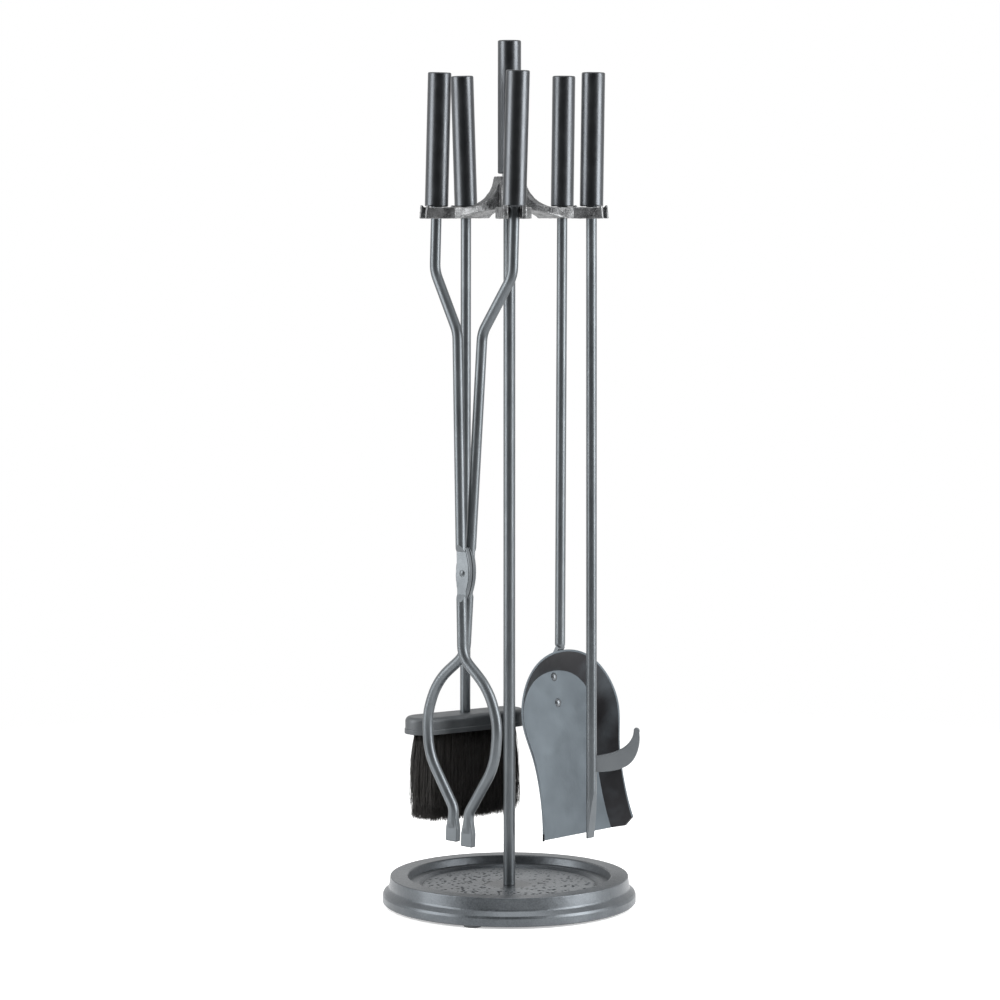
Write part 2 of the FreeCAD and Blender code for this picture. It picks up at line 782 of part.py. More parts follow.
def pan_outline(grow, height, front):
    """The pan's outline, grown outward all round and closed across the mouth."""
    half_width = size("pan_half_width")
    waist = half_width - size("pan_waist_inset")
    back = size("pan_back")
    mouth = -size("pan_front")
    half = [
        Vector(0, back, 0),
        Vector(half_width * PAN_SHOULDER[0], back * PAN_SHOULDER[1], 0),
        Vector(half_width, -PAN_WIDEST, 0),
        Vector((half_width + waist) / 2 - PAN_BELLY_INSET, mouth * PAN_SIDES[0], 0),
        Vector(waist, mouth * PAN_SIDES[1], 0),
        Vector(half_width - size("pan_mouth_inset"), mouth, 0),
    ]
    points = [Vector(-p.x, p.y, 0) for p in reversed(half[1:])] + half
    curve = spline(points)
    grown = []
    for point in points:
        along = curve.tangent(curve.parameter(point))[0]
        grown.append(point + Vector(-along.y, along.x, 0) * grow)
    first = grown[0]
    last = grown[-1]
    ahead = Vector(-(grown[1].x - first.x), -(grown[1].y - first.y), 0).normalize() * front
    grown[0] = first + ahead
    grown[-1] = last + Vector(-ahead.x, ahead.y, 0)
    grown = [point + Vector(0, 0, height) for point in grown]
    return Part.Wire([spline(grown).toShape(), Part.LineSegment(grown[-1], grown[0]).toShape()])


def pan_wall_runs():
    """How far outside the inner face a wall one sheet thick reaches, level with the rim and under the floor."""
    slope = size("pan_wall_flare") / size("pan_wall_height")
    wall_run = size("pan_sheet") * math.hypot(slope, 1)
    return wall_run, wall_run - size("pan_sheet") * slope


def rivet_places():
    return [Vector(0, size("rivet_upper"), 0), Vector(0, size("rivet_lower"), 0)]


def rivet_holes():
    depth = size("pan_sheet") + size("strap_thickness") + size("strap_clearance")
    return [Part.makeCylinder(size("rivet_radius"), 4 * depth, place - Vector(0, 0, 2 * depth))
            for place in rivet_places()]


def build_pan():
    sheet_thickness = size("pan_sheet")
    height = size("pan_wall_height")
    flare = size("pan_wall_flare")
    wall_run, under_run = pan_wall_runs()
    spare = flare / 2
    above = 1.2
    outside = Part.makeLoft([pan_outline(under_run, -sheet_thickness, spare),
                             pan_outline(flare + wall_run, height, spare)], True, True)
    inside = Part.makeLoft([pan_outline(0, 0, 2 * spare),
                            pan_outline(flare * above, height * above, 2 * spare)], True, True)
    front = -size("pan_front")
    rear = size("pan_back") + flare + spare
    below = -2 * sheet_thickness
    wide = 2 * (size("pan_half_width") + flare + 2 * spare)
    keep = polygon_face([
        Vector(-wide / 2, front, below),
        Vector(-wide / 2, front, height - size("pan_corner_height")),
        Vector(-wide / 2, front + size("pan_corner_cut"), height),
        Vector(-wide / 2, rear, height),
        Vector(-wide / 2, rear, below),
    ]).extrude(Vector(wide, 0, 0))
    left_corner = Vector(size("pan_mouth_inset") - size("pan_half_width"), front, 0)
    keep.rotate(left_corner, Vector(0, 0, 1), -size("pan_mouth_skew"))
    pan = outside.cut(inside).common(keep).cut(rivet_holes())
    named(solid_feature("shovel_pan", pan), "shovel_pan", tool_place("shovel").multiply(pan_frame()))


def build_shovel_rod():
    """The rod ends over the pan's back rim, and its forged flat end follows the back wall's outside."""
    frame = pan_frame()
    radius = size("rod_radius")
    thick = size("strap_thickness")
    clear = size("strap_clearance")
    wall_run, under_run = pan_wall_runs()
    under = -size("pan_sheet")
    # the pan's back wall outside, from its foot to its rim, in pan coordinates
    foot = Vector(0, size("pan_back") + under_run, under)
    rim = Vector(0, size("pan_back") + size("pan_wall_flare") + wall_run, size("pan_wall_height"))
    along = (rim - foot).normalize()
    away = Vector(0, along.z, -along.y)
    end = size("strap_end")
    bend = (clear + thick) * math.tan(math.atan2(along.z, along.y) / 2)
    strap = polygon_face([
        Vector(0, end, under),
        Vector(0, foot.y - 2 * clear, under),
        foot + away * clear + along * clear,
        rim + away * clear + along * radius / 2,
        rim + away * (clear + thick) + along * radius / 2,
        foot + away * (clear + thick) + along * bend,
        Vector(0, foot.y - bend, under - thick),
        Vector(0, end, under - thick),
    ])
    wide = size("strap_width") / 2
    neck = size("strap_neck") / 2
    corner = size("strap_corner")
    strap = strap.extrude(Vector(2 * wide, 0, 0))
    strap.translate(Vector(-wide, 0, 0))
    depth = 2 * (size("pan_wall_height") + thick + radius)
    plan = polygon_face([
        Vector(-wide + corner, end, -depth / 2),
        Vector(-wide, end + corner, -depth / 2),
        Vector(-wide, foot.y - bend, -depth / 2),
        Vector(-neck, rim.y, -depth / 2),
        Vector(-neck, rim.y + 2 * radius, -depth / 2),
        Vector(neck, rim.y + 2 * radius, -depth / 2),
        Vector(neck, rim.y, -depth / 2),
        Vector(wide, foot.y - bend, -depth / 2),
        Vector(wide, end + corner, -depth / 2),
        Vector(wide - corner, end, -depth / 2),
    ]).extrude(Vector(0, 0, depth))
    strap = strap.common(plan).cut(rivet_holes())
    strap.Placement = frame
    rod_end = frame.multVec(rim).z + radius + clear
    ball = Part.makeSphere(radius, Vector(0, 0, rod_end))
    rod = straight_rod("shovel", -rod_end).fuse([ball, strap]).removeSplitter()
    named(solid_feature("shovel_rod", rod), "shovel_rod", tool_place("shovel"))


def build_rivets():
    """Two domed rivets through the pan's floor and the rod's flat end."""
    head = size("rivet_head_radius")
    rise = size("rivet_head_height")
    sphere = (head ** 2 + rise ** 2) / (2 * rise)
    depth = size("pan_sheet") + size("strap_thickness")
    tail_rise = rise / 2
    rivets = []
    for place in rivet_places():
        dome = Part.makeSphere(sphere, place + Vector(0, 0, rise - sphere))
        dome = dome.common(Part.makeCylinder(head, rise * 2, place))
        shank = Part.makeCylinder(size("rivet_radius"), depth, place - Vector(0, 0, depth))
        tail = Part.makeCylinder(head * RIVET_TAIL_SHARE, tail_rise, place - Vector(0, 0, depth + tail_rise))
        rivets.append(dome.fuse([shank, tail]).removeSplitter())
    feature = solid_feature("pan_rivets", Part.makeCompound(rivets))
    named(feature, "pan_rivets", tool_place("shovel").multiply(pan_frame()))


# ---------------------------------------------------------------- brush


def stadium(length, width, height):
    """A closed outline with half-round ends, along X."""
    half = width / 2
    end = length / 2 - half
    return Part.Wire([
        Part.LineSegment(Vector(-end, -half, height), Vector(end, -half, height)).toShape(),
        Part.Arc(Vector(end, -half, height), Vector(end + half, 0, height), Vector(end, half, height)).toShape(),
        Part.LineSegment(Vector(end, half, height), Vector(-end, half, height)).toShape(),
        Part.Arc(Vector(-end, half, height), Vector(-end - half, 0, height), Vector(-end, -half, height)).toShape(),
    ])


def build_brush():
    top = -down_to("brush_top") - size("grip_clearance")
    turn = placed(Vector(0, 0, top), Rotation(Vector(0, 0, 1), size("brush_turn")))
    place = tool_place("brush").multiply(turn)
    length = size("brush_length")
    width = size("brush_width")
    height = size("brush_height")
    bead = size("brush_bead")
    head = Part.Face(stadium(length - bead, width - bead, -height)).extrude(Vector(0, 0, height))
    head = head.makeFillet(size("brush_edge"), [e for e in head.Edges if e.BoundBox.ZMin > -0.01])
    bead_height = height * BRUSH_BEAD_SHARE
    lower = Part.Face(stadium(length, width, -height)).extrude(Vector(0, 0, bead_height))
    bead_edges = [e for e in lower.Edges if e.BoundBox.ZMin > -height + bead_height / 2]
    lower = lower.makeFillet(bead * BRUSH_BEAD_ROUND, bead_edges)
    head = head.fuse(lower).removeSplitter()
    socket = Part.makeCylinder(size("rod_radius"), size("brush_socket") + 1, Vector(0, 0, -size("brush_socket")))
    named(solid_feature("brush_head", head.cut(socket)), "brush_head", place)

    inset = 2 * size("bristle_inset")
    spread = 2 * size("bristle_spread")
    upper = stadium(length - inset, width - inset, -height)
    lower = stadium(length - inset + spread, width - inset + spread, -height - size("bristle_length"))
    tufts = Part.makeLoft([upper, lower], True, True)
    named(solid_feature("brush_bristles", tufts), "brush_bristles", place)

    rod = straight_rod("brush", -top + size("brush_socket"))
    named(solid_feature("brush_rod", rod), "brush_rod", tool_place("brush"))


# ---------------------------------------------------------------- tongs


def tongs_half_spacing():
    return seat("tongs_left").distanceToPoint(seat("tongs_right")) / 2


def tongs_place():
    """The tongs' frame: origin midway between the two seats, X towards the right one, -Y outward."""
    left = seat("tongs_left")
    right = seat("tongs_right")
    turn = math.degrees(math.atan2(right.y - left.y, right.x - left.x))
    rotation = Rotation(Vector(0, 0, 1), turn).multiply(lean(size("tongs_lean")))
    return placed((left + right) * 0.5, rotation)


def arm_offset():
    """How far each arm's rod lies out of the tongs' middle plane below the handle."""
    return size("pivot_washer_thickness") / 2 + size("pivot_play") + size("rod_radius")


def tongs_arm(side):
    """One arm: its grip is on this side (-1 left, 1 right) and its jaw on the other.

    The left arm lies in front of the middle plane, the right arm behind it.
    """
    out = side * arm_offset()
    radius = size("rod_radius")
    half = tongs_half_spacing() / math.cos(math.radians(size("tongs_lean")))
    grip_foot = grip_foot_height(side)
    knee = side * size("tongs_knee_half") + size("tongs_knee_shift")
    points = [
        Vector(side * half, 0, grip_foot),
        Vector(side * half, 0, -size("tongs_handle")),
        Vector(knee, out, -size("tongs_knee")),
    ]
    for level in ("throat", "shoulder", "jaw", "cheek"):
        points.append(Vector(-side * size("tongs_%s_half" % level), out, -down_to("tongs_" + level)))
    centre = size("tongs_foot_shift") - side * size("tongs_foot_half")
    points.append(Vector(centre, out, -down_to("tongs_foot")))
    points.append(Vector(centre, out, -down_to("tongs_end") + FOOT_EDGE))
    bend = size("tongs_bend")
    jaw_bend = size("tongs_jaw_bend")
    bends = [bend, bend, bend, jaw_bend, jaw_bend, jaw_bend, bend * FOOT_BEND_SHARE]
    arm = rod_along(rounded_path(points, bends), radius)

    # the eye round the pivot: the rod forged wider there, and flat on its outer side
    thick = size("eye_thickness")
    inner = side * (arm_offset() - radius)
    outer = inner + side * thick
    level = -down_to("tongs_pivot")
    flat = size("eye_flat") / 2
    ramp = size("eye_flat_ramp")
    far = outer + side * 2 * radius
    past = 2 * size("eye_width")
    relief = polygon_face([
        Vector(-past, outer, level - flat),
        Vector(-past, far, level - flat - 2 * ramp),
        Vector(-past, far, level + flat + 2 * ramp),
        Vector(-past, outer, level + flat),
    ]).extrude(Vector(2 * past, 0, 0))
    arm = arm.cut(relief)
    eye = lens_face(size("eye_height") / 2, size("eye_width") / 2, radius / 2).extrude(Vector(0, 0, thick))
    eye = eye.makeFillet(EYE_EDGE, [edge for edge in eye.Edges if edge.BoundBox.ZMin > thick / 2])
    eye.rotate(Vector(), Vector(0, 1, 0), 90)
    eye.rotate(Vector(), Vector(0, 0, 1), 90 * side)
    eye.translate(Vector(0, inner, level))
    arm = arm.fuse(eye)

    # the foot that grips a log: the rod flattened and a little wider
    bottom = -down_to("tongs_end")
    flat = size("foot_thickness") / 2
    foot_top = bottom + size("foot_height")
    taper = size("foot_taper")
    past = 2 * size("foot_width")
    shaves = []
    for face in (-1, 1):
        edge = out + face * flat
        far = out + face * 2 * radius
        shaves.append(polygon_face([
            Vector(centre - past, edge, bottom - taper),
            Vector(centre - past, edge, foot_top - taper),
            Vector(centre - past, far, foot_top + 2 * taper),
            Vector(centre - past, far, bottom - taper),
        ]).extrude(Vector(2 * past, 0, 0)))
    wide = size("foot_width") / 2
    foot = polygon_face([
        Vector(centre - wide, 0, bottom),
        Vector(centre - wide, 0, foot_top - taper),
        Vector(centre - radius + FOOT_SHOULDER, 0, foot_top + taper),
        Vector(centre + radius - FOOT_SHOULDER, 0, foot_top + taper),
        Vector(centre + wide, 0, foot_top - taper),
        Vector(centre + wide, 0, bottom),
    ]).extrude(Vector(0, 2 * flat, 0))
    foot.translate(Vector(0, out - flat, 0))
    foot = foot.makeFillet(FOOT_EDGE, [edge for edge in foot.Edges if edge.BoundBox.ZMin < foot_top])
    arm = arm.cut(shaves).fuse(foot)

    hole = Part.makeCylinder(size("pivot_radius") + size("pivot_clearance"), 2 * past, Vector(0, -past, level),
                             Vector(0, 1, 0))
    recess = size("collar_recess")
    pin = Part.makeCylinder(size("tenon_radius"), size("tenon_length") + 2 * recess,
                            Vector(side * half, 0, grip_foot - recess))
    neck = Part.makeCylinder(radius, recess, Vector(side * half, 0, grip_foot))
    return arm.cut(hole).fuse([pin, neck]).removeSplitter()


def lens_face(half_length, half_width, half_end):
    """A long flat shape along X with bowed sides and blunt ends."""
    return outline_face([
        Part.Arc(Vector(half_length, half_end, 0), Vector(0, half_width, 0),
                 Vector(-half_length, half_end, 0)).toShape(),
        Part.LineSegment(Vector(-half_length, half_end, 0), Vector(-half_length, -half_end, 0)).toShape(),
        Part.Arc(Vector(-half_length, -half_end, 0), Vector(0, -half_width, 0),
                 Vector(half_length, -half_end, 0)).toShape(),
        Part.LineSegment(Vector(half_length, -half_end, 0), Vector(half_length, half_end, 0)).toShape(),
    ])


def grip_foot_height(side):
    """The height of a grip's foot in the tongs' leaning frame that puts it just over its fork."""
    return size("grip_clearance") + side * tongs_half_spacing() * math.tan(math.radians(size("tongs_lean")))


def build_tongs():
    place = tongs_place()
    half = tongs_half_spacing() / math.cos(math.radians(size("tongs_lean")))
    for name, side in (("tongs_left", -1), ("tongs_right", 1)):
        named(solid_feature(name + "_arm", tongs_arm(side)), name + "_arm", place)
        foot = placed(Vector(side * half, 0, grip_foot_height(side)))
        build_grip(name, place.multiply(foot))
    height = -down_to("tongs_pivot")
    gap = size("pivot_washer_thickness")
    reach = gap / 2 + 2 * size("pivot_play") + size("eye_thickness")
    head = size("pivot_head_radius")
    rise = size("pivot_head_height")
    sphere = (head ** 2 + rise ** 2) / (2 * rise)
    along = Vector(0, 1, 0)
    shank = Part.makeCylinder(size("pivot_radius"), 2 * reach, Vector(0, -reach, height), along)
    heads = []
    for side in (-1, 1):
        ball = Part.makeSphere(sphere, Vector(0, side * (reach + rise - sphere), height))
        block = Part.makeCylinder(head, rise * 2, Vector(0, side * reach, height), along * side)
        heads.append(ball.common(block))
    named(solid_feature("pivot_rivet", shank.fuse(heads).removeSplitter()), "pivot_rivet", place)
    washer = Part.makeCylinder(size("pivot_washer_radius"), gap, Vector(0, -gap / 2, height), along)
    bore = Part.makeCylinder(size("pivot_radius"), gap, Vector(0, -gap / 2, height), along)
    named(solid_feature("pivot_washer", washer.cut(bore)), "pivot_washer", place)


# ---------------------------------------------------------------- the whole set

build_base()
build_foot_pads()
build_base_fasteners()
build_post()
build_holder()
build_holder_fasteners()
build_grip("stand", placed(Vector(0, 0, value(HUB_TOP + " + stand_grip_gap"))), "stud_radius")
for tool in ("poker", "shovel", "brush"):
    build_grip(tool, grip_place(tool))
build_poker()
build_shovel_rod()
build_pan()
build_rivets()
build_brush()
build_tongs()
doc.recompute()

for item in doc.Objects:
    if "Invalid" in item.State or "Error" in item.State:
        raise RuntimeError("%s failed: %s" % (item.Label, item.State))
os.makedirs("parts", exist_ok=True)
for item in nodes:
    shape = item.Shape
    if shape.isNull() or not shape.isValid() or not shape.Solids:
        raise RuntimeError("%s has no valid solid" % item.Label)
for item in nodes:
    item.Shape.exportStep("parts/%s.step" % item.Label)
    box = item.Shape.BoundBox
    print("%-26s %2d solid(s) %10.0f mm3  z %.1f to %.1f" % (
        item.Label, len(item.Shape.Solids), item.Shape.Volume, box.ZMin, box.ZMax))
print("%d nodes" % len(nodes))
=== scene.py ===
import math
import random

import bmesh
import bpy
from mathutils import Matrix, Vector, noise


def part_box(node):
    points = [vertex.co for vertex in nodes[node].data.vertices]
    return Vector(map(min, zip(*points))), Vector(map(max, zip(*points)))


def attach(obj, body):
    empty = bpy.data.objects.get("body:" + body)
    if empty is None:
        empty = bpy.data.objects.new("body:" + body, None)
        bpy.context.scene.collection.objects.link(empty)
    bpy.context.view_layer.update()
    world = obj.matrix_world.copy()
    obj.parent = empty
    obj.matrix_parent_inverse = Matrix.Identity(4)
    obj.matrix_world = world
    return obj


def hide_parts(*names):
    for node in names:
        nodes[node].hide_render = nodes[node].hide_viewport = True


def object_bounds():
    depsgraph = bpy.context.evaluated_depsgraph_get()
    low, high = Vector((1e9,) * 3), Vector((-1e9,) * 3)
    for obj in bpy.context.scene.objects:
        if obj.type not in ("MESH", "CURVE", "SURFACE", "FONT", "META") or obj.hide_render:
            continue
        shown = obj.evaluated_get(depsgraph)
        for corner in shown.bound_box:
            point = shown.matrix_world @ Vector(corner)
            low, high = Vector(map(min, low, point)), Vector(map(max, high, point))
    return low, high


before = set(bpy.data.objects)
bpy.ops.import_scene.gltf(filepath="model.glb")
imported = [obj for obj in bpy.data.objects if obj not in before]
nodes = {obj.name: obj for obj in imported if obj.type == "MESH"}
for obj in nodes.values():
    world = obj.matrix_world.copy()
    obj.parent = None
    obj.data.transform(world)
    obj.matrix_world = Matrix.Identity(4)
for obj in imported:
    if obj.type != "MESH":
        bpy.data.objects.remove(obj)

# A free-standing fireplace tool set: cast base, post, five-armed cast holder, and a poker, a shovel, a brush
# and a pair of tongs that hang in it. Metres, +Z up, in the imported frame. The camera looks along +Y.

MM = 0.001
PAN_FLOOR_NORMAL = (0.741, -0.644, 0.191)  # the way the shovel's pan faces as it hangs
SOFT = (0.3, 0.7)  # the ends of a noise's range that a look is spread between
CRISP = (0.35, 0.65)  # nearer ends, for patches with sharper edges
cad_low, cad_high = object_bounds()


# ---------------------------------------------------------------- materials


class Finish:
    """One procedural material, built up a node at a time round its Principled shader."""

    def __init__(self, name, **sockets):
        self.material = bpy.data.materials.new(name)
        self.material.use_nodes = True
        self.tree = self.material.node_tree
        self.shader = self.tree.nodes["Principled BSDF"]
        for socket, value in sockets.items():
            self.shader.inputs[socket.replace("_", " ")].default_value = value
        coordinates = self.tree.nodes.new("ShaderNodeTexCoord")
        self.place = coordinates.outputs["Object"]
        self.facing = coordinates.outputs["Normal"]

    def node(self, kind, inputs=None, **settings):
        made = self.tree.nodes.new(kind)
        for name, value in settings.items():
            setattr(made, name, value)
        for socket, value in (inputs or {}).items():
            if isinstance(value, bpy.types.NodeSocket):
                self.tree.links.new(value, made.inputs[socket])
            else:
                made.inputs[socket].default_value = value
        return made

    def noise(self, scale, detail=2.0, roughness=0.5, stretch=None):
        """Soft noise from 0 to 1. Scale is features per metre."""
        place = self.place
        if stretch:
            place = self.node("ShaderNodeMapping", {"Vector": place, "Scale": stretch}).outputs["Vector"]
        inputs = {"Vector": place, "Scale": scale, "Detail": detail, "Roughness": roughness}
        return self.node("ShaderNodeTexNoise", inputs).outputs["Fac"]

    def ranged(self, source, low, high, to_low, to_high):
        """The source, from its own range, spread over another."""
        inputs = {"Value": source, "From Min": low, "From Max": high, "To Min": to_low, "To Max": to_high}
        return self.node("ShaderNodeMapRange", inputs).outputs["Result"]

    def sum(self, first, second, operation="ADD"):
        """Two values added, or joined by another operation."""
        return self.node("ShaderNodeMath", {0: first, 1: second}, operation=operation).outputs["Value"]

    def blend(self, share, first, second):
        """A colour between the first and the second."""
        mix = self.node("ShaderNodeMix", data_type="RGBA")
        for index, value in ((0, share), (6, first), (7, second)):
            if isinstance(value, bpy.types.NodeSocket):
                self.tree.links.new(value, mix.inputs[index])
            else:
                mix.inputs[index].default_value = value
        return mix.outputs[2]

    def drive(self, socket, source):
        self.tree.links.new(source, self.shader.inputs[socket])

    def relief(self, layers):
        """Bump from several heights, each with its depth in metres."""
        normal = None
        for height, depth in layers:
            inputs = {"Height": height, "Distance": depth, "Strength": 1.0}
            if normal:
                inputs["Normal"] = normal
            normal = self.node("ShaderNodeBump", inputs).outputs["Normal"]
        self.drive("Normal", normal)


def grey(red, green, blue):
    return (red, green, blue, 1.0)


def graphite_paint(name, light, dark, roughness, metallic, peel=0.010, wave=0.020):
    """A satin powder coat: fine orange peel, faint clouding and a few worn, shinier patches."""
    coat = Finish(name, Metallic=metallic)
    cloud = coat.noise(28.0, 3.0)
    speck = coat.noise(1400.0, 1.0)
    mottled = coat.sum(coat.ranged(cloud, *SOFT, 0.0, 0.8), coat.ranged(speck, *CRISP, 0.0, 0.2))
    coat.drive("Base Color", coat.blend(mottled, dark, light))
    worn = coat.ranged(coat.noise(60.0, 4.0, 0.6), *SOFT, roughness - 0.05, roughness + 0.06)
    coat.drive("Roughness", worn)
    coat.relief([(coat.noise(900.0, 2.0), peel * MM), (coat.noise(180.0, 2.0), wave * MM)])
    return coat.material


def cast_paint(name, light, dark, roughness, grain, pit_shade_heights=None):
    """Graphite paint over sand-cast iron: a granular skin that shows through the coat.

    The last argument gives the heights between which a pit's bottom is darkened with painted shade.
    """
    coat = Finish(name, Metallic=0.78)
    cloud = coat.noise(22.0, 3.0)
    grit = coat.noise(750.0, 3.0, 0.65)
    mottled = coat.sum(coat.ranged(cloud, *SOFT, 0.0, 0.6), coat.ranged(grit, *CRISP, 0.0, 0.4))
    colour = coat.blend(mottled, dark, light)
    if pit_shade_heights:
        # Painted shade: pit bottoms below the given heights darken towards near black.
        height = coat.node("ShaderNodeSeparateXYZ", {"Vector": coat.place}).outputs["Z"]
        colour = coat.blend(coat.ranged(height, *pit_shade_heights, 0.0, 1.0), grey(0.006, 0.006, 0.007), colour)
    coat.drive("Base Color", colour)
    coat.drive("Roughness", coat.ranged(grit, *SOFT, roughness - 0.08, roughness + 0.1))
    coat.relief([(grit, grain * MM), (coat.noise(160.0, 2.0), 2.0 * grain * MM)])
    return coat.material


def pan_paint_with_painted_shade(name, light, dark, roughness):
    """The pan's satin paint, with painted shade blackening the inner faces that turn up from its floor."""
    coat = Finish(name, Metallic=0.8)
    # Mask for painted shade: the pan's inner faces that turn up from its floor.
    facing = coat.node("ShaderNodeVectorMath", {0: coat.facing, 1: PAN_FLOOR_NORMAL}, operation="DOT_PRODUCT")
    cloud = coat.noise(24.0, 3.0)
    ragged = coat.sum(facing.outputs["Value"], coat.ranged(cloud, *SOFT, -0.05, 0.05))
    off_floor = coat.ranged(ragged, 0.76, 0.94, 1.0, 0.0)
    inside = coat.ranged(ragged, 0.0, 0.2, 0.0, 1.0)
    painted_wall_shade = coat.sum(off_floor, inside, "MULTIPLY")
    paint = coat.blend(coat.ranged(cloud, *SOFT, 0.0, 1.0), dark, light)
    # Painted shade: those inner faces are darkened towards near black.
    coat.drive("Base Color", coat.blend(painted_wall_shade, paint, grey(0.020, 0.020, 0.022)))
    worn = coat.ranged(coat.noise(60.0, 4.0, 0.6), *SOFT, roughness - 0.04, roughness + 0.07)
    coat.drive("Roughness", worn)
    coat.relief([(coat.noise(900.0, 2.0), 0.006 * MM), (coat.noise(180.0, 2.0), 0.008 * MM)])
    return coat.material


def raw_casting(name, light, dark, roughness):
    """Bare-looking granular casting, its raised grains rubbed bright and its hollows dark."""
    coat = Finish(name, Metallic=0.65)
    grains = coat.noise(1300.0, 3.0, 0.7)
    patches = coat.noise(130.0, 3.0, 0.6)
    rubbed = coat.sum(coat.ranged(grains, 0.42, 0.62, 0.0, 0.7), coat.ranged(patches, *CRISP, 0.0, 0.5))
    coat.drive("Base Color", coat.blend(rubbed, dark, light))
    coat.drive("Roughness", coat.ranged(grains, *CRISP, roughness + 0.12, roughness - 0.08))
    coat.relief([(grains, 0.16 * MM), (patches, 0.30 * MM)])
    return coat.material


def brushed_steel(name):
    """Bare steel with fine lines along its height."""
    steel = Finish(name, Metallic=1.0)
    lines = steel.noise(600.0, 2.0, 0.6, stretch=(6.0, 6.0, 0.4))
    steel.drive("Base Color", steel.blend(lines, grey(0.30, 0.31, 0.32), grey(0.52, 0.53, 0.54)))
    steel.drive("Roughness", steel.ranged(lines, *SOFT, 0.25, 0.42))
    steel.relief([(lines, 0.008 * MM)])
    return steel.material


def rubber(name):
    """Dull grey rubber, dusty in patches."""
    pad = Finish(name)
    dust = pad.noise(500.0, 3.0, 0.6)
    pad.drive("Base Color", pad.blend(dust, grey(0.05, 0.053, 0.056), grey(0.09, 0.094, 0.098)))
    pad.drive("Roughness", pad.ranged(dust, *SOFT, 0.65, 0.85))
    pad.relief([(dust, 0.03 * MM)])
    return pad.material


def fibre(name):
    """Black plant fibre with paler brown streaks and a dull sheen along each strand."""
    strand = Finish(name, Specular_IOR_Level=0.4)
    streak = strand.noise(900.0, 2.0, 0.6, stretch=(1.0, 1.0, 0.02))
    strand.drive("Base Color", strand.blend(streak, grey(0.0030, 0.0029, 0.0028), grey(0.045, 0.041, 0.037)))
    strand.drive("Roughness", strand.ranged(streak, *SOFT, 0.38, 0.6))
    return strand.material


SLOT_MATERIALS = {
    "base_paint": cast_paint("base_graphite", grey(0.115, 0.126, 0.136), grey(0.050, 0.056, 0.062),
                             0.36, 0.10),
    "holder_cast": raw_casting("holder_casting_skin", grey(0.27, 0.275, 0.28), grey(0.010, 0.011, 0.012),
                               0.36),
    "rod_paint": graphite_paint("rod_graphite", grey(0.112, 0.123, 0.132), grey(0.082, 0.091, 0.098),
                                0.37, 0.75),
    # The pan's paint carries painted shade on its inner walls.
    "pan_paint": pan_paint_with_painted_shade("pan_graphite", grey(0.100, 0.118, 0.132), grey(0.070, 0.083, 0.094), 0.40),
    "grip_paint": graphite_paint("grip_gunmetal", grey(0.072, 0.077, 0.083), grey(0.062, 0.066, 0.071),
                                 0.33, 0.95, peel=0.0004, wave=0.0),
    "brush_paint": graphite_paint("brush_graphite", grey(0.072, 0.078, 0.083), grey(0.052, 0.057, 0.061),
                                  0.50, 0.5),
    "bristles": fibre("bristle_fibre"),
    "fastener_steel": brushed_steel("fastener_steel_brushed"),
    "foot_rubber": rubber("foot_rubber_grey"),
}
HOOK_PAINT = graphite_paint("hook_graphite", grey(0.105, 0.115, 0.123), grey(0.080, 0.088, 0.095),
                            0.55, 0.25, peel=0.03, wave=0.05)
RIVET_PAINT = graphite_paint("rivet_graphite", grey(0.13, 0.14, 0.15), grey(0.10, 0.108, 0.116), 0.36, 0.8)

# The material slot of each CAD node, by the words in its name.
SLOT_WORDS = [
    ("base_casting", "base_paint"),
    ("foot_pads", "foot_rubber"),
    ("holder_casting", "holder_cast"),
    ("shovel_pan", "pan_paint"),
    ("pan_rivets", "rod_paint"),
    ("grip_sleeve", "grip_paint"),
    ("grip_plug", "grip_paint"),
    ("collar", "fastener_steel"),
    ("brush_head", "brush_paint"),
    ("brush_bristles", "bristles"),
    ("_rod", "rod_paint"),
    ("hook", "rod_paint"),
    ("_arm", "rod_paint"),
    ("pivot_rivet", "rod_paint"),
    ("", "fastener_steel"),
]


def slot_of(node):
    return next(slot for word, slot in SLOT_WORDS if word in node)


def wear(piece, slot, body, finish=None):
    """Give a new piece its finish, its slot and its body."""
    piece.data.materials.clear()
    piece.data.materials.append(finish or SLOT_MATERIALS[slot])
    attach(piece, body)
    return piece


for name, node in nodes.items():
    for material_slot in node.material_slots:
        material_slot.material = SLOT_MATERIALS[slot_of(name)]
nodes["poker_hook"].material_slots[0].material = HOOK_PAINT
nodes["pan_rivets"].material_slots[0].material = RIVET_PAINT


# ---------------------------------------------------------------- mesh helpers


def piece_from(name, vertices, faces, smooth=True):
    mesh = bpy.data.meshes.new(name)
    mesh.from_pydata(vertices, [], faces)
    mesh.validate()
    mesh.polygons.foreach_set("use_smooth", [smooth] * len(mesh.polygons))
    piece = bpy.data.objects.new(name, mesh)
    bpy.context.scene.collection.objects.link(piece)
    return piece


def tube_faces(first, rows, columns):
    """The faces between rows of points that each go round a tube, from the first point's number."""
    faces = []
    for row in range(rows):
        for column in range(columns):
            following = (column + 1) % columns
            a = first + row * columns
            b = a + columns
            faces.append((a + column, b + column, b + following, a + following))
    return faces


def eased(share):
    """0 to 1, smoothly, for a share that may lie outside that."""
    share = min(1.0, max(0.0, share))
    return share * share * (3 - 2 * share)


# ---------------------------------------------------------------- base: the pitted floor of the bowl


BOWL_RING_STEP = 0.65 * MM
BOWL_SPOKES = 720
BOWL_SKIN = 0.25 * MM  # how far the skin stands over the CAD floor where it is smooth
BOWL_RAISE = 0.35 * MM  # how much further where it is textured, so that a pit has somewhere to go
BOWL_EDGE_FADE = 3 * MM
POST_SMOOTH = (14 * MM, 16 * MM)  # where the texture starts round the post, and how far on it is full
PIT_SPACING = 4.6 * MM
PIT_DEPTH = 0.60 * MM
PIT_SLOPE = 0.14  # the width of a pit's side, as a share of the spacing
SUNK = 0.05 * MM  # how far its underside lies in the CAD floor, and the least that its top stands over it


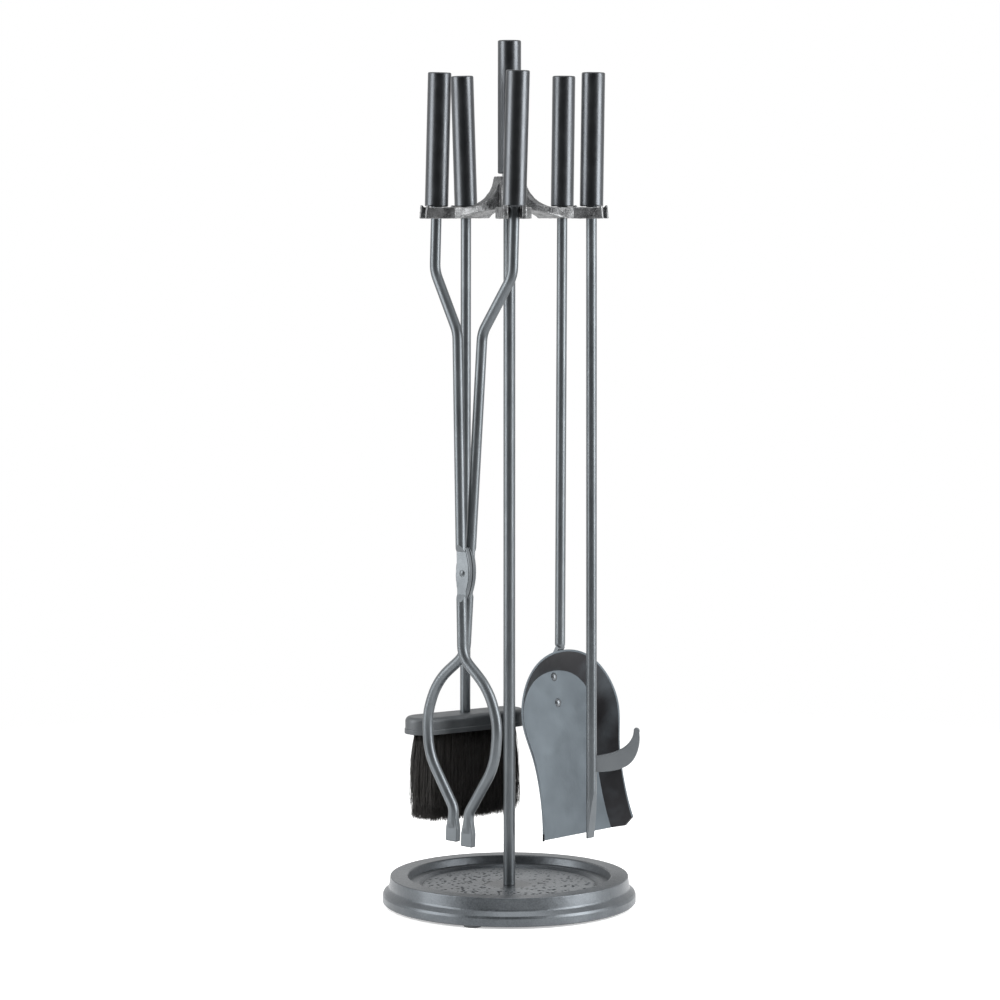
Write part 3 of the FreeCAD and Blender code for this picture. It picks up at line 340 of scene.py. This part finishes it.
def bowl_floor():
    """A closed skin on the bowl's floor, pitted and pebbled as it was cast, smooth round the post."""
    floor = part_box("post_rod")[0].z
    base = nodes["base_casting"].data.vertices
    radius = max(math.hypot(v.co.x, v.co.y) for v in base if abs(v.co.z - floor) < 0.01 * MM) - 0.2 * MM
    post = (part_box("post_rod")[1].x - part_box("post_rod")[0].x) / 2 - 0.3 * MM
    rings = int((radius - post) / BOWL_RING_STEP)
    spokes = BOWL_SPOKES
    vertices = []
    for ring in range(rings + 1):
        distance = post + (radius - post) * ring / rings
        fade = eased((radius - distance) / BOWL_EDGE_FADE)
        fade *= eased((distance - POST_SMOOTH[0]) / POST_SMOOTH[1])
        for spoke in range(spokes):
            angle = 2 * math.pi * spoke / spokes
            place = Vector((distance * math.cos(angle), distance * math.sin(angle), 0))
            distances, centres = noise.voronoi(place / PIT_SPACING)
            width = 0.20 + 0.12 * noise.noise(centres[0] * 3.7)
            pit = -PIT_DEPTH * (1 - eased((distances[0] - width) / PIT_SLOPE))
            pebble = 0.16 * MM * noise.noise(place / (2.6 * MM)) + 0.07 * MM * noise.noise(place / (1.1 * MM))
            height = BOWL_SKIN + BOWL_RAISE * fade + (pit + pebble) * fade
            vertices.append((place.x, place.y, floor + max(height, SUNK)))
    count = len(vertices)
    faces = []
    for ring in range(rings):
        for spoke in range(spokes):
            following = (spoke + 1) % spokes
            a, b = ring * spokes + spoke, ring * spokes + following
            faces.append((a, a + spokes, b + spokes, b))
    for ring in (0, rings):
        for spoke in range(spokes):
            x, y, _ = vertices[ring * spokes + spoke]
            vertices.append((x, y, floor - SUNK))
    for spoke in range(spokes):
        following = (spoke + 1) % spokes
        inner, inner_next = count + spoke, count + following
        outer, outer_next = inner + spokes, inner_next + spokes
        top = rings * spokes
        faces.append((spoke, following, inner_next, inner))
        faces.append((top + following, top + spoke, outer, outer_next))
        faces.append((inner, inner_next, outer_next, outer))
    # The heights over the floor between which the pit bottoms are darkened with painted shade.
    pit_shade_heights = (floor + 0.08 * MM, floor + 0.42 * MM)
    finish = cast_paint("bowl_graphite", grey(0.150, 0.164, 0.176), grey(0.070, 0.077, 0.084), 0.34, 0.040,
                        pit_shade_heights)
    return wear(piece_from("bowl_floor_skin", vertices, faces), "base_paint", "stand", finish)


# ---------------------------------------------------------------- holder: a rough casting


HOLDER_VOXEL = 0.55 * MM
HOLDER_LUMP_HEIGHT = 0.22  # in millimetres, as the grain's height is
HOLDER_LUMP_SPACING = 5.0 * MM
HOLDER_GRAIN_HEIGHT = 0.24
HOLDER_GRAIN_SPACING = 1.5 * MM


def holder_skin():
    """The holder's casting with its edges softened and its skin grained as sand leaves it."""
    mesh = nodes["holder_casting"].data.copy()
    shape = bmesh.new()
    shape.from_mesh(mesh)
    bmesh.ops.remove_doubles(shape, verts=shape.verts, dist=0.001 * MM)
    shape.to_mesh(mesh)
    shape.free()
    piece = bpy.data.objects.new("holder_casting_skin", mesh)
    bpy.context.scene.collection.objects.link(piece)
    remesh = piece.modifiers.new("remesh", "REMESH")
    remesh.mode = "VOXEL"
    remesh.voxel_size = HOLDER_VOXEL
    smooth = piece.modifiers.new("smooth", "SMOOTH")
    smooth.iterations = 4
    smooth.factor = 0.5
    evaluated = piece.evaluated_get(bpy.context.evaluated_depsgraph_get())
    finished = bpy.data.meshes.new_from_object(evaluated)
    piece.modifiers.clear()
    piece.data = finished
    normals = [vertex.normal.copy() for vertex in finished.vertices]
    for vertex, normal in zip(finished.vertices, normals):
        place = vertex.co
        lump = HOLDER_LUMP_HEIGHT * noise.noise(place / HOLDER_LUMP_SPACING)
        grain = HOLDER_GRAIN_HEIGHT * noise.noise(place / HOLDER_GRAIN_SPACING)
        vertex.co = place + normal * (lump + grain) * MM
    finished.polygons.foreach_set("use_smooth", [True] * len(finished.polygons))
    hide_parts("holder_casting")
    return wear(piece, "holder_cast", "stand")


# ---------------------------------------------------------------- brush: strands of fibre


BRUSH_TURN = math.radians(34.0)
STRANDS = 5200
STRAND_SIDES = 3
STRAND_STEPS = 5
STRAND_SEED = 17
TUFT_SIZE = 6 * MM
BLOCK_END = 16.0 * MM  # the radius of the bristle block's round ends
BRISTLE_MARGIN = 8.0 * MM  # how far inside the block's ends the outermost roots stand
BRISTLE_HALF_WIDTH = 12.6 * MM
ROOT_DEPTH = 0.8 * MM  # how far the strands reach up into the head


def inside_stadium(u, v, half_length, half_width):
    end = half_length - half_width
    if abs(u) <= end:
        return abs(v) <= half_width
    return math.hypot(abs(u) - end, v) <= half_width


def bristle_strands():
    """Tufts of single strands that lean, bow and end unevenly, with a few strays."""
    low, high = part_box("brush_bristles")
    head_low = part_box("brush_head")[0]
    centre = (low + high) / 2
    top = head_low.z + ROOT_DEPTH
    length = high.z - low.z
    block_half = ((high - low).x / 2 - BLOCK_END) / math.cos(BRUSH_TURN) + BLOCK_END
    half_length = block_half - BRISTLE_MARGIN
    half_width = BRISTLE_HALF_WIDTH
    along = Vector((math.cos(BRUSH_TURN), math.sin(BRUSH_TURN), 0))
    across = Vector((-math.sin(BRUSH_TURN), math.cos(BRUSH_TURN), 0))
    random.seed(STRAND_SEED)
    vertices = []
    faces = []
    made = 0
    while made < STRANDS:
        u = random.uniform(-half_length, half_length)
        v = random.uniform(-half_width, half_width)
        if not inside_stadium(u, v, half_length, half_width):
            continue
        made += 1
        tuft = noise.noise_vector(Vector((u / TUFT_SIZE, v / TUFT_SIZE, 3.0)))
        end = u / half_length
        outer = max(abs(end), abs(v) / half_width)
        stray = random.random() < 0.08 + 0.25 * outer ** 5
        wild = 2.4 if stray else 1.0
        lean_u = 3.5 * MM * end ** 3 + 5.0 * MM * tuft.x + wild * random.gauss(0, 1.3 * MM)
        lean_v = 1.6 * MM * (v / half_width) + 1.8 * MM * tuft.y + wild * random.gauss(0, 0.8 * MM)
        bow_u = wild * random.gauss(0, 1.0 * MM) + 2.6 * MM * end ** 5
        bow_v = wild * random.gauss(0, 0.8 * MM)
        corner = abs(end) ** 6
        short = 0.085 if end > 0 else 0.05
        ragged = abs(random.gauss(0, 0.024)) + 0.030 * abs(tuft.z)
        reach = length * (1.0 - short * corner - ragged - (random.uniform(0, 0.25) if stray else 0.0))
        thick = random.uniform(0.16, 0.25) * MM
        turn = random.uniform(0, 2 * math.pi)
        first = len(vertices)
        for step in range(STRAND_STEPS + 1):
            t = step / STRAND_STEPS
            bow = math.sin(math.pi * t)
            offset = along * (u + lean_u * t * t + bow_u * bow) + across * (v + lean_v * t * t + bow_v * bow)
            middle = Vector((centre.x, centre.y, top)) + offset - Vector((0, 0, reach * t))
            wide = thick * (1.0 - 0.55 * t ** 3)
            for side in range(STRAND_SIDES):
                angle = turn + 2 * math.pi * side / STRAND_SIDES
                vertices.append(middle + Vector((wide * math.cos(angle), wide * math.sin(angle), 0)))
        faces += tube_faces(first, STRAND_STEPS, STRAND_SIDES)
        last = first + STRAND_STEPS * STRAND_SIDES
        faces.append((first, first + 1, first + 2))
        faces.append((last + 2, last + 1, last))
    piece = piece_from("brush_bristle_strands", [tuple(v) for v in vertices], faces)
    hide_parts("brush_bristles")
    wear(piece, "bristles", "brush")
    return bristle_core(centre, top, length, half_length, half_width, along, across)


def bristle_core(centre, top, length, half_length, half_width, along, across):
    """The dense middle of the tufts, which no light gets through, ridged like packed fibre."""
    rows = 24
    columns = 240
    vertices = []
    end = half_length - half_width
    for row in range(rows + 1):
        t = row / rows
        shrink = 0.84 - 0.10 * t
        for column in range(columns):
            angle = 2 * math.pi * column / columns
            ridge = 1.0 + 0.035 * math.sin(angle * 60) + 0.03 * noise.noise(Vector((angle * 9, t * 2.0, 0)))
            u = math.copysign(end, math.cos(angle)) * min(1.0, abs(math.cos(angle)) * 6)
            u += half_width * math.cos(angle) * shrink * ridge
            v = half_width * math.sin(angle) * shrink * ridge
            z = top - length * 0.80 * t
            place = Vector((centre.x, centre.y, z)) + along * u * (1 - 0.04 * t) + across * v
            vertices.append(tuple(place))
    faces = tube_faces(0, rows, columns)
    faces.append(tuple(range(columns)))
    faces.append(tuple(reversed(range(rows * columns, (rows + 1) * columns))))
    return wear(piece_from("brush_bristle_core", vertices, faces), "bristles", "brush")


# ---------------------------------------------------------------- poker: weld beads at the hook


def weld_bead(name, path, radius, body, slot):
    """A run of overlapping weld ripples along a path."""
    sides = 14
    vertices = []
    for index, place in enumerate(path):
        ahead = path[min(index + 1, len(path) - 1)] - path[max(index - 1, 0)]
        ahead.normalize()
        sideways = ahead.orthogonal().normalized()
        upright = ahead.cross(sideways)
        end = min(index, len(path) - 1 - index)
        wide = radius * (1 + 0.16 * math.cos(index * 1.9)) * min(1.0, 0.35 + 0.35 * end)
        for side in range(sides):
            angle = 2 * math.pi * side / sides
            rough = 1 + 0.10 * noise.noise((place + sideways * angle * MM) / (1.2 * MM))
            out = sideways * math.cos(angle) + upright * math.sin(angle)
            vertices.append(tuple(place + out * wide * rough))
    faces = []
    for index in range(len(path) - 1):
        for side in range(sides):
            following = (side + 1) % sides
            a = index * sides
            b = a + sides
            faces.append((a + side, a + following, b + following, b + side))
    faces.append(tuple(reversed(range(sides))))
    faces.append(tuple(range(len(vertices) - sides, len(vertices))))
    return wear(piece_from(name, vertices, faces), slot, body)


ROD_RADIUS = 4.75 * MM
HOOK_ROOT_HEIGHT = 14.0 * MM
SIDE_WELD = 0.85 * MM
END_WELD = 0.8 * MM
SIDE_WELD_STEP = 0.65 * MM


def hook_welds():
    """Beads where the hook's blade meets the poker's rod: up each side and across its top and bottom."""
    hook_low, hook_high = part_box("poker_hook")
    middle = (hook_low.y + hook_high.y) / 2
    half = (hook_high.y - hook_low.y) / 2
    rod = nodes["poker_rod"].data.vertices
    near = [vertex.co.x for vertex in rod if hook_low.z < vertex.co.z]
    axis = (max(near) + min(near)) / 2
    root = axis + math.sqrt(ROD_RADIUS ** 2 - half ** 2) + 0.1 * MM
    foot = hook_low.z + 0.6 * MM
    for side, name in ((-1, "front"), (1, "back")):
        face = middle + side * (half + 0.15 * MM)
        path = [Vector((root, face, foot + step * SIDE_WELD_STEP)) for step in range(20)]
        weld_bead("hook_weld_" + name, path, SIDE_WELD, "poker", "rod_paint")
    for height, name in ((hook_low.z + 0.2 * MM, "lower"), (hook_low.z + HOOK_ROOT_HEIGHT, "upper")):
        path = [Vector((axis + math.sqrt(ROD_RADIUS ** 2 - y ** 2), middle + y, height))
                for y in [half * (0.2 * step - 1.0) for step in range(11)]]
        weld_bead("hook_weld_" + name, path, END_WELD, "poker", "rod_paint")


bowl_floor()
holder_skin()
bristle_strands()
hook_welds()


# ---------------------------------------------------------------- floor, light and camera


def pale_floor():
    """A pale round floor that fades out at its rim into the white surroundings."""
    radius = 1.6
    segments = 128
    fade_from, fade_to = 0.25, 1.2
    glow = 0.42
    angles = [2 * math.pi * n / segments for n in range(segments)]
    vertices = [(radius * math.cos(angle), radius * math.sin(angle), 0) for angle in angles]
    floor = piece_from("studio_floor", vertices, [tuple(range(segments))], smooth=False)
    surface = Finish("studio_floor_white", Base_Color=grey(0.86, 0.86, 0.86), Roughness=0.9)
    surface.shader.inputs["Emission Color"].default_value = grey(1.0, 1.0, 1.0)
    surface.shader.inputs["Emission Strength"].default_value = glow
    distance = surface.node("ShaderNodeVectorMath", {0: surface.place}, operation="LENGTH").outputs["Value"]
    fade = surface.ranged(distance, fade_from, fade_to, 0.0, 1.0)
    clear = surface.node("ShaderNodeBsdfTransparent").outputs["BSDF"]
    mixed = surface.node("ShaderNodeMixShader", {0: fade, 1: surface.shader.outputs["BSDF"], 2: clear})
    output = surface.tree.nodes["Material Output"]
    surface.tree.links.new(mixed.outputs["Shader"], output.inputs["Surface"])
    floor.data.materials.append(surface.material)


def studio_world():
    """A white surround, dimmer towards the front, so that dark satin metal keeps its dark middle."""
    world = bpy.data.worlds.new("studio_surround")
    world.use_nodes = True
    bpy.context.scene.world = world
    tree = world.node_tree
    background = tree.nodes["Background"]
    coordinates = tree.nodes.new("ShaderNodeTexCoord")
    axes = tree.nodes.new("ShaderNodeSeparateXYZ")
    tree.links.new(coordinates.outputs["Generated"], axes.inputs["Vector"])
    brightness = tree.nodes.new("ShaderNodeMapRange")
    brightness.interpolation_type = "SMOOTHSTEP"
    for socket, value in (("From Min", -0.95), ("From Max", 0.1), ("To Min", 0.2), ("To Max", 1.0)):
        brightness.inputs[socket].default_value = value
    tree.links.new(axes.outputs["Y"], brightness.inputs["Value"])
    tree.links.new(brightness.outputs["Result"], background.inputs["Color"])
    background.inputs["Strength"].default_value = 1.0


def softbox(name, place, aim, width, height, power):
    lamp = bpy.data.lights.new(name, "AREA")
    lamp.shape = "RECTANGLE"
    lamp.size = width
    lamp.size_y = height
    lamp.energy = power
    light = bpy.data.objects.new(name, lamp)
    light.location = place
    light.rotation_euler = (Vector(aim) - Vector(place)).to_track_quat("-Z", "Y").to_euler()
    light.visible_camera = False
    bpy.context.scene.collection.objects.link(light)


def flag():
    """A dark card in front, unseen itself, that gives round satin metal its dark middle stripe."""
    half_width, low, high, distance = 1.25, -0.1, 1.7, 2.0
    corners = [(-half_width, -distance, low), (half_width, -distance, low),
               (half_width, -distance, high), (-half_width, -distance, high)]
    card = piece_from("studio_flag", corners, [(0, 1, 2, 3)], smooth=False)
    black = Finish("studio_flag_black", Base_Color=grey(0.02, 0.02, 0.02), Roughness=0.9)
    card.data.materials.append(black.material)
    card.visible_camera = False


CAMERA_PLACE = (-0.0084, -3.035)
CAMERA_HEIGHT_SHARE = 0.8085  # of the set's height
CAMERA_PITCH = 4.9195  # degrees down from level
LENS = 121.92
SENSOR = 36.0


def camera():
    height = cad_high.z - cad_low.z
    lens = bpy.data.cameras.new("camera")
    lens.lens = LENS
    lens.sensor_width = SENSOR
    view = bpy.data.objects.new("camera", lens)
    view.location = (*CAMERA_PLACE, CAMERA_HEIGHT_SHARE * height)
    view.rotation_euler = (math.radians(90.0 - CAMERA_PITCH), 0, 0)
    bpy.context.scene.collection.objects.link(view)
    bpy.context.scene.camera = view


SIDE_AIM = (0, 0, 0.45)
TOP_AIM = (0, 0, 0.2)

pale_floor()
studio_world()
flag()
softbox("softbox_left", (-1.30, -0.40, 0.75), SIDE_AIM, width=0.75, height=1.5, power=24.0)
softbox("softbox_right", (1.30, -0.50, 0.75), SIDE_AIM, width=0.75, height=1.5, power=36.0)
softbox("softbox_top", (0.0, -0.25, 1.9), TOP_AIM, width=1.1, height=1.1, power=12.0)
camera()
bpy.context.scene.view_settings.view_transform = "Standard"
